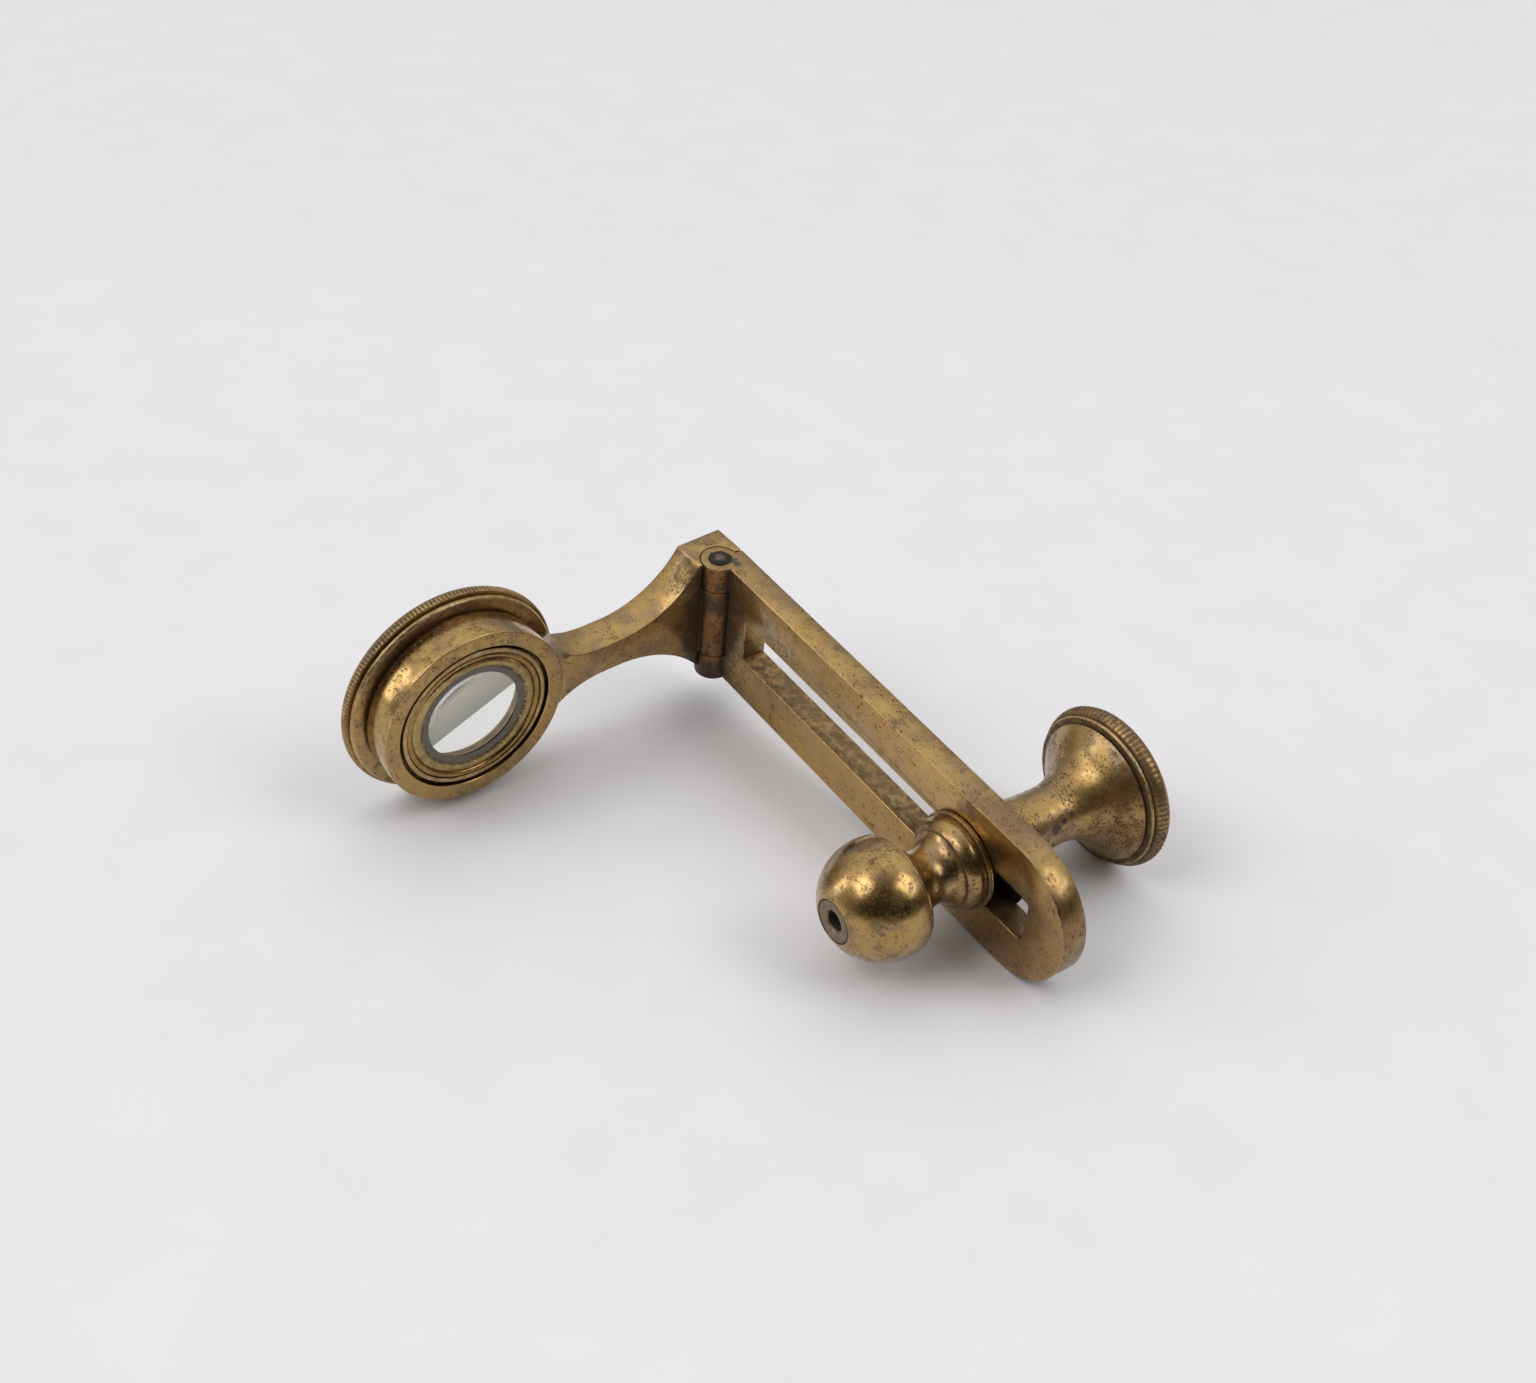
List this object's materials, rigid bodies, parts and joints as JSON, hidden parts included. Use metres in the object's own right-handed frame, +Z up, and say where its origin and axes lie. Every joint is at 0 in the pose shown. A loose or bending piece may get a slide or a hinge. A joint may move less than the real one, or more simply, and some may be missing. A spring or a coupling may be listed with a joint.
{
  "type": "folding hand microscope",
  "caption": "Pocket magnifier: a hinged arm carries a milled lens cell beside a slotted bar, and a ball needle holder slides and turns in the slot by a flared knob.",
  "frame": {"origin": "bottom centre of the whole instrument's box as it lies in the picture, with the hinge pin upright", "axes": "+X along the slotted bar from the hinge to the round end, +Y from the needle holder to the knob, +Z up along the hinge pin"},
  "size_m": [0.0646, 0.0648, 0.0253],
  "materials": {
    "worn_brass": "worn satin",
    "bright_brass": "bright, rubbed",
    "dark_brass": "dark patina",
    "speckled_brass": "speckled patina",
    "rusted_steel": "rusted",
    "dark_steel": "tarnished",
    "glass": "clear"
  },
  "bodies": {
    "bar": {"slotted_bar": "worn_brass", "hinge_pin": "rusted_steel"},
    "arm": {"lens_arm": "worn_brass", "lens_ring": "bright_brass"},
    "cell": {"lens_cell": "dark_brass", "retaining_ring": "bright_brass", "eye_lens": "glass"},
    "slider": {"slide_block": "dark_brass", "spring_washer": "dark_steel"},
    "holder": {"ball_socket": "speckled_brass", "needle_bush": "dark_steel", "milled_knob": "speckled_brass"}
  },
  "joints": [
    {"name": "arm_fold", "type": "hinge", "parent": "bar", "child": "arm", "pos_m": [-0.02667, 0.01171, 0.01265], "axis": [0, 0, 1], "range_deg": [-2.6, 87.4]},
    {"name": "cell_turn", "type": "hinge", "parent": "arm", "child": "cell", "pos_m": [-0.02535, -0.01946, 0.01265], "axis": [0.999, 0.0454, 0], "continuous": true},
    {"name": "holder_slide", "type": "slide", "parent": "bar", "child": "slider", "axis": [1, 0, 0], "range_m": [-0.0354, 0.0072]},
    {"name": "holder_turn", "type": "hinge", "parent": "slider", "child": "holder", "pos_m": [0.01704, 0.01171, 0.01265], "axis": [0, 1, 0], "continuous": true}
  ],
  "couplings": [
    {"joint": "holder_slide", "follows": "arm_fold", "m_per_rad": 0.0047}
  ]
}
